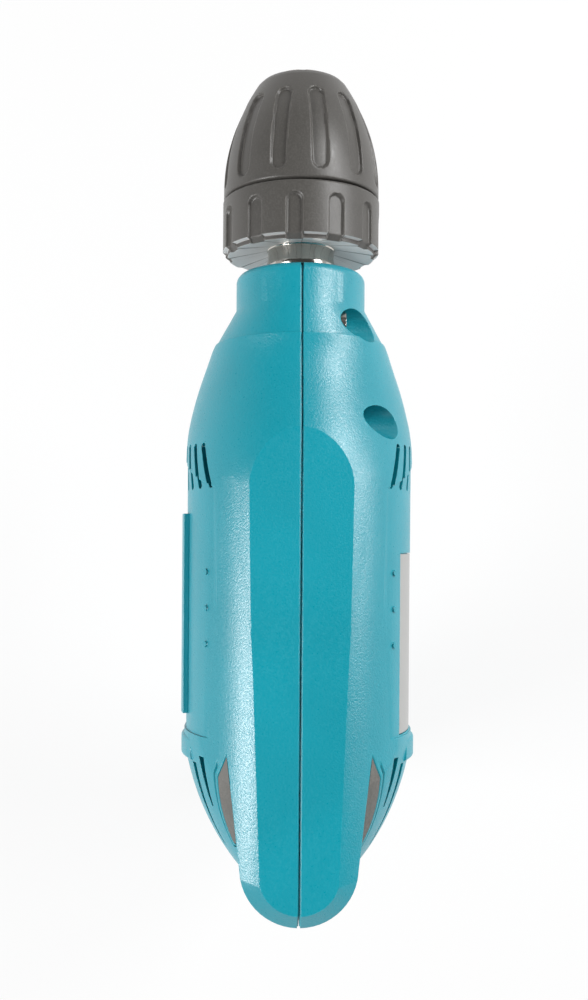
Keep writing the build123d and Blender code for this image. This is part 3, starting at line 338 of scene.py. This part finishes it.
def grey(value):
    """Grey of that brightness."""
    return (value, value, value)


def times(colour, share):
    """Colour made darker or brighter by a share."""
    return tuple(share * part for part in colour)


def bump(tree, height, distance, normal=None):
    """Bump of that depth, laid over another normal."""
    node = tree.nodes.new("ShaderNodeBump")
    node.inputs["Strength"].default_value = 1.0
    node.inputs["Distance"].default_value = distance
    tree.links.new(height, node.inputs["Height"])
    if normal is not None:
        tree.links.new(normal, node.inputs["Normal"])
    return node.outputs["Normal"]


def soft_edges(tree, radius):
    """Normal that rounds sharp edges over that radius."""
    node = tree.nodes.new("ShaderNodeBevel")
    node.samples = 6
    node.inputs["Radius"].default_value = radius
    return node.outputs["Normal"]


def edge_mask(tree, rounded):
    """Value that rises where the rounded normal leaves the face's own."""
    surface = tree.nodes.new("ShaderNodeNewGeometry")
    dot = tree.nodes.new("ShaderNodeVectorMath")
    dot.operation = "DOT_PRODUCT"
    tree.links.new(rounded, dot.inputs[0])
    tree.links.new(surface.outputs["Normal"], dot.inputs[1])
    return ramp(tree, dot.outputs["Value"], [(0.90, grey(1)), (0.995, grey(0))])


def mixed(tree, share, first, second):
    """Colour between two, by a share. Sockets go by number, because their names are not unique."""
    node = tree.nodes.new("ShaderNodeMix")
    node.data_type = "RGBA"
    tree.links.new(share, node.inputs[0])
    tree.links.new(first, node.inputs[6])
    node.inputs[7].default_value = (*second, 1)
    return node.outputs[2]


def moulded(name, colour, pale, grain, height=0.00002, roughness=0.4, edge=0.0004, gloss=0.5):
    """Moulded plastic with a fine grain, slight unevenness, and pale edges that are partly rubbed wear and
    partly a painted highlight line.
    """
    material, tree, shader = new_material(name)
    place = object_place(tree)
    rounded = soft_edges(tree, edge)
    fine = noise(tree, place, grain, 3.0)
    broad = noise(tree, place, grain * PLASTIC_PATCH)
    dark = times(colour, 0.92)
    shade = ramp(tree, broad, [(0.35, dark), (0.65, colour)])
    speckled = mixed(tree, ramp(tree, fine, [(0.45, grey(0)), (0.75, grey(0.2))]), shade, pale)
    # Pale colour along every sharp edge: partly rubbed wear, partly painted highlight lines standing for
    # light catching the edges
    worn_and_highlit_edges = mixed(tree, edge_mask(tree, rounded), speckled, pale)
    tree.links.new(worn_and_highlit_edges, shader.inputs["Base Color"])
    shader.inputs["Specular IOR Level"].default_value = gloss
    dulling = ramp(tree, fine, [(0.30, grey(roughness - 0.07)), (0.70, grey(roughness + 0.10))])
    tree.links.new(dulling, shader.inputs["Roughness"])
    tree.links.new(bump(tree, fine, height, rounded), shader.inputs["Normal"])
    return material


def steel(name, colour, roughness, spacing, edge=0.0002):
    """Steel turned about the spindle axis, with fine rings along X."""
    material, tree, shader = new_material(name)
    shader.inputs["Metallic"].default_value = 1.0
    rings = noise(tree, object_place(tree, (1, 0.02, 0.02)), spacing, 1.0)
    patches = noise(tree, object_place(tree), spacing * STEEL_PATCH)
    dull = times(colour, 0.82)
    tree.links.new(ramp(tree, patches, [(0.3, dull), (0.7, colour)]), shader.inputs["Base Color"])
    gloss = ramp(tree, rings, [(0.3, grey(roughness)), (0.7, grey(roughness + 0.12))])
    tree.links.new(gloss, shader.inputs["Roughness"])
    rounded = soft_edges(tree, edge)
    tree.links.new(bump(tree, rings, 0.00001, rounded), shader.inputs["Normal"])
    return material


def dotted_pad(name, colour, height=0.0001, roughness=0.62):
    """Soft pad with a fine moulded stipple."""
    material, tree, shader = new_material(name)
    place = object_place(tree)
    cells = tree.nodes.new("ShaderNodeTexVoronoi")
    cells.inputs["Scale"].default_value = STIPPLES_PER_METRE
    tree.links.new(place, cells.inputs["Vector"])
    dark = times(colour, 0.8)
    broad = noise(tree, place, 0.012)
    tree.links.new(ramp(tree, broad, [(0.3, dark), (0.7, colour)]), shader.inputs["Base Color"])
    shader.inputs["Roughness"].default_value = roughness
    tree.links.new(bump(tree, cells.outputs["Distance"], height), shader.inputs["Normal"])
    return material


def brushed_plate(name, colour, stroke=0.0003, height=0.000008, edge=0.0002):
    """Thin satin plate brushed along X."""
    material, tree, shader = new_material(name)
    shader.inputs["Metallic"].default_value = 0.85
    strokes = noise(tree, object_place(tree, (0.03, 1, 1)), stroke)
    dull = times(colour, 0.85)
    tree.links.new(ramp(tree, strokes, [(0.3, dull), (0.7, colour)]), shader.inputs["Base Color"])
    gloss = ramp(tree, strokes, [(0.3, grey(0.30)), (0.7, grey(0.45))])
    tree.links.new(gloss, shader.inputs["Roughness"])
    tree.links.new(bump(tree, strokes, height, soft_edges(tree, edge)), shader.inputs["Normal"])
    return material


def layered(name, first, second, pitch, metallic, roughness):
    """Thin layers stacked along X, as sheet steel or wound wire."""
    material, tree, shader = new_material(name)
    shader.inputs["Metallic"].default_value = metallic
    wave = tree.nodes.new("ShaderNodeTexWave")
    wave.bands_direction = "X"
    wave.inputs["Scale"].default_value = WAVE_LENGTH / pitch
    wave.inputs["Distortion"].default_value = 0.6
    tree.links.new(object_place(tree), wave.inputs["Vector"])
    shade = ramp(tree, wave.outputs["Fac"], [(0.2, first), (0.8, second)])
    tree.links.new(shade, shader.inputs["Base Color"])
    shader.inputs["Roughness"].default_value = roughness
    tree.links.new(bump(tree, wave.outputs["Fac"], pitch / 4), shader.inputs["Normal"])
    return material


# Pieces


def add_piece(name, mesh, body, material):
    """Shows a finished mesh as a piece that moves with a body."""
    piece = bpy.data.objects.new(name, mesh)
    bpy.context.scene.collection.objects.link(piece)
    mesh.materials.clear()
    mesh.materials.append(material)
    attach(piece, body)
    return piece


def flat_patches(shape):
    """Number of the broad flat patch, level or upright, that each face belongs to, or None."""
    found = {}
    for seed in shape.faces:
        if seed.index in found:
            continue
        found[seed.index] = seed.index
        group = [seed]
        for face in group:
            for other in {near for edge in face.edges for near in edge.link_faces}:
                if other.index not in found and face.normal.angle(other.normal, 0) < FLAT_ANGLE:
                    found[other.index] = seed.index
                    group.append(other)
        slanted = max(abs(part) for part in seed.normal) < STRAIGHT
        if slanted or sum(face.calc_area() for face in group) < BROAD_AREA:
            found.update((face.index, None) for face in group)
    return found


def mark_creases(shape, sharp_degrees):
    """Keeps edges hard where the surface turns sharply or where a broad flat patch ends."""
    shape.normal_update()
    shape.faces.index_update()
    patches = flat_patches(shape)
    for face in shape.faces:
        face.smooth = True
    for edge in shape.edges:
        turn = edge.calc_face_angle(math.pi)
        parts = {patches[face.index] for face in edge.link_faces}
        edge.smooth = turn < math.radians(sharp_degrees) and (len(parts) == 1 or turn < CREASE_ANGLE)


def finished_mesh(name, shape, sharp_degrees):
    """Smooth-shaded mesh of a shape, which is freed."""
    mark_creases(shape, sharp_degrees)
    mesh = bpy.data.meshes.new(name)
    shape.to_mesh(mesh)
    shape.free()
    return mesh


def dress(name, node, material, sharp_degrees=28, even_flats=True):
    """Smooth-shaded copy of a node's solid that stands for the node."""
    source = frame["nodes"][node]
    shape = bmesh.new()
    shape.from_mesh(source.data)
    bmesh.ops.remove_doubles(shape, verts=shape.verts, dist=MERGE_DISTANCE)
    piece = add_piece(name, finished_mesh(name, shape, sharp_degrees), source["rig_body"], material)
    if even_flats:
        flats = piece.modifiers.new("Flat faces", "WEIGHTED_NORMAL")
        flats.keep_sharp = True
    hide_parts(node)
    return piece


def round_bevels(mesh):
    """Shades the slanted flats beside the spine like the round barrel that they run into."""
    normals = []
    for face in mesh.polygons:
        slant = BEVEL_SLANT[0] < face.normal.z < BEVEL_SLANT[1] and abs(face.normal.x) < BEVEL_RUN
        for corner in face.vertices:
            place = mesh.vertices[corner].co
            out = Vector((0, place.y, place.z - BARREL_AXIS)).normalized()
            normals.append(out if slant and face.center.z > 0 else (0, 0, 0))
    mesh.normals_split_custom_set(normals)


def slot_depth(past_end, across, half_width, depth, lip):
    """Depth of a flat-bottomed flute with soft lips at a place past its end centre and across it."""
    outside = math.hypot(max(past_end, 0), across) - half_width
    share = min(max((lip - outside) / (2 * lip), 0), 1)
    return depth * share * share * (3 - 2 * share)


def off_centre(turn, first, count):
    """Angle to the nearest of count evenly spread directions."""
    pitch = FULL_TURN / count
    return abs((turn - first + pitch / 2) % pitch - pitch / 2)


def sleeve_radius(x):
    """Outer radius of the front sleeve's bowed side."""
    (rear, wide), (front, narrow) = SLEEVE_OUTLINE[2:4]
    return wide - (wide - narrow) * max((x - rear) / (front - rear), 0) ** SLEEVE_BOW


def drawn_outline(outline, fine):
    """Closed outline beside the spindle axis, with its first edges finely divided."""
    shape = bmesh.new()
    corners = [shape.verts.new((x, 0, radius)) for x, radius in outline]
    sides = [shape.edges.new(ends) for ends in zip(corners, corners[1:] + corners[:1])]
    for side in sides[:fine]:
        cuts = round(side.calc_length() / TURNED_SPACING)
        bmesh.ops.subdivide_edges(shape, edges=[side], cuts=cuts)
    return shape


def spin_round(shape):
    """Turns an outline about the spindle axis."""
    outline = shape.verts[:] + shape.edges[:]
    bmesh.ops.spin(
        shape, geom=outline, axis=(1, 0, 0), cent=(0, 0, 0), angle=FULL_TURN,
        steps=TURNED_STEPS, use_merge=True,
    )
    bmesh.ops.remove_doubles(shape, verts=shape.verts, dist=MERGE_DISTANCE)
    bmesh.ops.recalc_face_normals(shape, faces=shape.faces)


def carve(shape, depth_at):
    """Moves vertices in towards the spindle axis by a rule of x, radius and turn from upright."""
    for vertex in shape.verts:
        x, across, up = vertex.co
        radius = math.hypot(across, up)
        left = 1 - depth_at(x, radius, math.atan2(across, up)) / radius
        vertex.co = (x, across * left, up * left)


def finish_node(node, material):
    """Gives a node its own finish."""
    mesh = frame["nodes"][node].data
    mesh.materials.clear()
    mesh.materials.append(material)


# Steps that dress the drill and set its studio


class DRILL_OT_housing(bpy.types.Operator):
    """Dress the two housing halves in grained plastic"""

    bl_idname = "drill.housing"
    bl_label = "Housing"

    def execute(self, context):
        shell = look("drill_shell")
        plastic = moulded(
            "grained_shell", tuple(shell.colour), tuple(shell.pale), shell.grain,
            height=shell.grain_height, roughness=shell.roughness, edge=shell.edge, gloss=shell.gloss,
        )
        for side in ("left", "right"):
            half = dress(f"shell_{side}", f"housing_{side}", plastic, even_flats=False)
            round_bevels(half.data)
        dress("plate_left", "name_plate_left", plastic)
        return {"FINISHED"}


class DRILL_OT_trim(bpy.types.Operator):
    """Dress the bare plates, thumb pads, screws and cord gland"""

    bl_idname = "drill.trim"
    bl_label = "Trim"

    def execute(self, context):
        trim = look("drill_trim")
        plate = brushed_plate("satin_plate", tuple(trim.plate))
        pad = dotted_pad("stippled_pad", tuple(trim.pad))
        screw = steel("screw_steel", tuple(look("drill_chuck").steel), roughness=0.22, spacing=0.0005)
        control = tuple(trim.control)
        rubber = moulded("gland_rubber", control, control, grain=0.0006, roughness=0.55, edge=0.0006)
        dress("plate_right", "name_plate_right", plate)
        for side in ("left", "right"):
            dress(f"pad_{side}", f"thumb_pad_{side}", pad)
        dress("shell_screws", "housing_screws", screw)
        dress("inlet_gland", "cord_gland", rubber)
        return {"FINISHED"}


class DRILL_OT_chuck(bpy.types.Operator):
    """Dress the chuck, its jaws and the spindle"""

    bl_idname = "drill.chuck"
    bl_label = "Chuck"

    def execute(self, context):
        chuck = look("drill_chuck")
        black = tuple(chuck.colour)
        # Paler edge colour of the black sleeves: partly rubbed wear, partly painted highlight along the
        # flute lips and edges
        rubbed_and_highlit = times(black, 2.2)
        plastic = moulded("sleeve_plastic", black, rubbed_and_highlit, chuck.grain, roughness=0.38)
        # The ring's rear face is the same black plastic, painted light grey as a painted reflection of the
        # studio light
        dish_painted_reflection = moulded("dish_painted_reflection_grey", tuple(chuck.dish_painted_reflection), times(chuck.dish_painted_reflection, 1.1), chuck.grain)
        shaded = times(chuck.steel, 0.45)
        polished = steel("polished_steel", tuple(chuck.steel), roughness=0.12, spacing=chuck.turning)
        oiled = steel("oiled_steel", shaded, roughness=0.28, spacing=chuck.turning)
        self.add_turned("front_sleeve", "chuck_sleeve", self.sleeve_shape(chuck), plastic)
        ring = self.add_turned("rear_ring", "chuck_ring", self.ring_shape(chuck), plastic)
        ring.data.materials.append(dish_painted_reflection)
        # Faces that look rearward on the ring's rear take the painted reflection grey
        for face in ring.data.polygons:
            face.material_index = int(face.normal.x < -STRAIGHT and face.center.x < RING_OUTLINE[1][0])
        dress("chuck_core", "chuck_body", polished)
        dress("drive_spindle", "spindle", polished)
        dress("retaining_screw", "chuck_screw", polished)
        for number in (1, 2, 3):
            dress(f"grip_jaw_{number}", f"jaw_{number}", oiled)
        finish_node("jaw_nut", oiled)
        finish_node("thrust_balls", polished)
        return {"FINISHED"}

    def add_turned(self, name, node, shape, material):
        """Shows a turned shape in the place of a node."""
        mesh = finished_mesh(name, shape, TURNED_CREASE)
        piece = add_piece(name, mesh, frame["nodes"][node]["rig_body"], material)
        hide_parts(node)
        return piece

    def sleeve_shape(self, chuck):
        """Front sleeve with its bowed side and closed flutes."""
        shape = drawn_outline(SLEEVE_OUTLINE, SLEEVE_FINE)
        side_rear, side_front = SLEEVE_OUTLINE[2][0], SLEEVE_OUTLINE[3][0]
        for vertex in shape.verts[len(SLEEVE_OUTLINE):]:
            if side_rear < vertex.co.x < side_front:
                vertex.co.z = sleeve_radius(vertex.co.x)
        spin_round(shape)
        half = chuck.flute_width / 2
        rear, front = SLEEVE_FLUTES

        def depth_at(x, radius, turn):
            if radius < sleeve_radius(x) - chuck.flute_lip:
                return 0
            past_end = max(rear + half - x, x - front + half)
            across = radius * off_centre(turn, SLEEVE_TURN, chuck.flutes)
            return slot_depth(past_end, across, half, chuck.flute_depth, chuck.flute_lip)

        carve(shape, depth_at)
        return shape

    def ring_shape(self, chuck):
        """Rear ring with flutes that run out behind and a notch in each land."""
        shape = drawn_outline(RING_OUTLINE, RING_FINE)
        spin_round(shape)
        half = chuck.flute_width / 2
        rear_radius = RING_OUTLINE[0][1]
        land = RING_TURN + math.pi / chuck.flutes

        def depth_at(x, radius, turn):
            if radius < rear_radius - chuck.flute_lip:
                return 0
            across = radius * off_centre(turn, RING_TURN, chuck.flutes)
            past_end = x - RING_FLUTE_FRONT + half
            flute = slot_depth(past_end, across, half, chuck.flute_depth, chuck.flute_lip)
            notched = x < NOTCH_FRONT and radius * off_centre(turn, land, chuck.flutes) < NOTCH_HALF
            return max(flute, radius - rear_radius if notched else 0)

        carve(shape, depth_at)
        return shape


class DRILL_OT_controls(bpy.types.Operator):
    """Dress the trigger, the lock button and the reverse lever"""

    bl_idname = "drill.controls"
    bl_label = "Controls"

    def execute(self, context):
        control = tuple(look("drill_trim").control)
        # Paler edge colour of the controls: partly rubbed wear, partly painted highlight along the edges
        rubbed_and_highlit = times(control, 2.0)
        plastic = moulded("control_plastic", control, rubbed_and_highlit, grain=0.0006, roughness=0.36)
        dress("pull_trigger", "trigger", plastic)
        dress("lock_on_button", "lock_button", plastic)
        dress("turn_lever", "reverse_lever", plastic)
        finish_node("switch_body", plastic)
        return {"FINISHED"}


class DRILL_OT_inside(bpy.types.Operator):
    """Give the gears, bearings, motor and brush gear their finishes"""

    bl_idname = "drill.inside"
    bl_label = "Inside"

    def execute(self, context):
        bright = tuple(look("drill_chuck").steel)
        dull = times(bright, 0.5)
        ground = steel("ground_steel", bright, roughness=0.2, spacing=0.0003)
        hard = steel("hard_steel", dull, roughness=0.3, spacing=0.0004)
        casting = steel("cast_alloy", grey(0.60), roughness=0.45, spacing=0.0012)
        bronze = steel("sintered_bronze", (0.55, 0.38, 0.15), roughness=0.4, spacing=0.0006)
        copper = layered(
            "wound_copper", (0.30, 0.11, 0.05), (0.66, 0.30, 0.15),
            pitch=0.0006, metallic=0.9, roughness=0.35,
        )
        sheets = layered(
            "sheet_stack", (0.10, 0.10, 0.11), (0.24, 0.24, 0.25),
            pitch=0.0006, metallic=0.8, roughness=0.5,
        )
        pale = moulded(
            "inner_plastic", (0.42, 0.41, 0.38), (0.5, 0.49, 0.46),
            grain=0.0008, roughness=0.5, edge=0.0003,
        )
        carbon = moulded(
            "pressed_carbon", grey(0.02), grey(0.05),
            grain=0.0004, height=0.00003, roughness=0.6, edge=0.0002,
        )
        finishes = {
            "spindle_bearing_outer": ground, "spindle_bearing_inner": ground,
            "motor_bearing_front_outer": ground, "motor_bearing_front_inner": ground,
            "motor_bearing_rear_outer": ground, "motor_bearing_rear_inner": ground,
            "spindle_gear": hard, "armature_shaft": hard,
            "brush_spring_left": hard, "brush_spring_right": hard,
            "bearing_bridge": casting, "spindle_bush": bronze,
            "brush_holder_left": bronze, "brush_holder_right": bronze,
            "armature_core": sheets, "stator_core": sheets,
            "armature_winding": copper, "field_coil_upper": copper, "field_coil_lower": copper,
            "commutator": copper, "fan": pale, "fan_baffle": pale, "capacitor": pale,
            "carbon_brush_left": carbon, "carbon_brush_right": carbon,
        }
        for node, material in finishes.items():
            finish_node(node, material)
        return {"FINISHED"}


class DRILL_OT_studio(bpy.types.Operator):
    """Lay the floor, place the lights and set the camera"""

    bl_idname = "drill.studio"
    bl_label = "Studio"

    def execute(self, context):
        scene = context.scene
        studio = look("drill_studio")
        scene.view_settings.view_transform = "Standard"
        floor_height = cad_box[0].z
        self.lay_floor(scene, floor_height, studio)
        self.set_world(scene, studio)
        middle = Vector(((cad_box[0].x + cad_box[1].x) / 2, 0, 0))
        for name, place, size, power in SOFT_BOXES:
            self.add_light(scene, name, middle, place, size, power)
        self.set_camera(scene, studio)
        return {"FINISHED"}

    def lay_floor(self, scene, height, studio):
        """Floor that looks almost white to the camera and in reflections, and takes the shadow."""
        shape = bmesh.new()
        bmesh.ops.create_grid(shape, x_segments=1, y_segments=1, size=FLOOR_REACH)
        bmesh.ops.translate(shape, verts=shape.verts, vec=(0, 0, height))
        mesh = bpy.data.meshes.new("studio_floor")
        shape.to_mesh(mesh)
        shape.free()
        material, tree, shader = new_material("pale_floor")
        shader.inputs["Base Color"].default_value = (*grey(studio.floor), 1)
        shader.inputs["Roughness"].default_value = 0.9
        lit = tree.nodes.new("ShaderNodeEmission")
        rays = tree.nodes.new("ShaderNodeLightPath")
        seen = rays.outputs["Is Camera Ray"]
        for kind in ("Is Glossy Ray", "Is Transmission Ray"):
            either = tree.nodes.new("ShaderNodeMath")
            either.operation = "MAXIMUM"
            tree.links.new(seen, either.inputs[0])
            tree.links.new(rays.outputs[kind], either.inputs[1])
            seen = either.outputs[0]
        share = tree.nodes.new("ShaderNodeMath")
        share.operation = "MULTIPLY"
        share.inputs[1].default_value = studio.floor_glow
        tree.links.new(seen, share.inputs[0])
        blend = tree.nodes.new("ShaderNodeMixShader")
        tree.links.new(share.outputs[0], blend.inputs[0])
        tree.links.new(shader.outputs["BSDF"], blend.inputs[1])
        tree.links.new(lit.outputs["Emission"], blend.inputs[2])
        tree.links.new(blend.outputs["Shader"], tree.nodes["Material Output"].inputs["Surface"])
        mesh.materials.append(material)
        floor = bpy.data.objects.new("studio_floor", mesh)
        scene.collection.objects.link(floor)

    def set_world(self, scene, studio):
        """Pale walls under a dark ceiling."""
        world = bpy.data.worlds.new("studio_air")
        world.use_nodes = True
        tree = world.node_tree
        place = tree.nodes.new("ShaderNodeTexCoord")
        parts = tree.nodes.new("ShaderNodeSeparateXYZ")
        tree.links.new(place.outputs["Generated"], parts.inputs[0])
        stops = [(WALLS_END, grey(studio.walls)), (CEILING_START, grey(studio.ceiling))]
        air = ramp(tree, parts.outputs["Z"], stops)
        tree.links.new(air, tree.nodes["Background"].inputs["Color"])
        scene.world = world

    def add_light(self, scene, name, target, place, size, power):
        """Soft box that faces the target."""
        data = bpy.data.lights.new(name, "AREA")
        data.shape = "RECTANGLE"
        data.size, data.size_y = size
        data.energy = power
        lamp = bpy.data.objects.new(name, data)
        lamp.location = target + Vector(place)
        lamp.rotation_euler = (-Vector(place)).to_track_quat("-Z", "Y").to_euler()
        scene.collection.objects.link(lamp)

    def set_camera(self, scene, studio):
        """Camera over the drill that looks straight down."""
        data = bpy.data.cameras.new("photo_camera")
        data.sensor_width = SENSOR
        data.lens = SENSOR * studio.focal_pixels / PHOTO_LONG_SIDE
        data.shift_x = studio.shift_across
        data.shift_y = studio.shift_up
        camera = bpy.data.objects.new("photo_camera", data)
        camera.location = (-studio.camera_back, studio.camera_left, studio.camera_height)
        camera.rotation_euler = (0, 0, -math.pi / 2 + studio.roll)
        scene.collection.objects.link(camera)
        scene.camera = camera


# Panel and registration


class DRILL_PT_pieces(bpy.types.Panel):
    """Lists the steps that dress the drill"""

    bl_idname = "DRILL_PT_pieces"
    bl_label = "Power drill"
    bl_space_type = "VIEW_3D"
    bl_region_type = "UI"
    bl_category = "Drill"

    def draw(self, context):
        for step in STEPS:
            self.layout.operator(step.bl_idname)


LOOKS = {
    "drill_shell": ShellLook, "drill_chuck": ChuckLook, "drill_trim": TrimLook, "drill_studio": StudioLook,
}
STEPS = (
    DRILL_OT_housing, DRILL_OT_trim, DRILL_OT_chuck, DRILL_OT_controls, DRILL_OT_inside, DRILL_OT_studio,
)
CLASSES = (*LOOKS.values(), *STEPS, DRILL_PT_pieces)


def register():
    for made in CLASSES:
        bpy.utils.register_class(made)
    for name, group in LOOKS.items():
        setattr(bpy.types.Scene, name, PointerProperty(type=group))


def unregister():
    for name in LOOKS:
        delattr(bpy.types.Scene, name)
    for made in reversed(CLASSES):
        bpy.utils.unregister_class(made)


def main():
    register()
    bpy.ops.drill.housing()
    bpy.ops.drill.trim()
    bpy.ops.drill.chuck()
    bpy.ops.drill.controls()
    bpy.ops.drill.inside()
    bpy.ops.drill.studio()


if __name__ == "__main__":
    main()
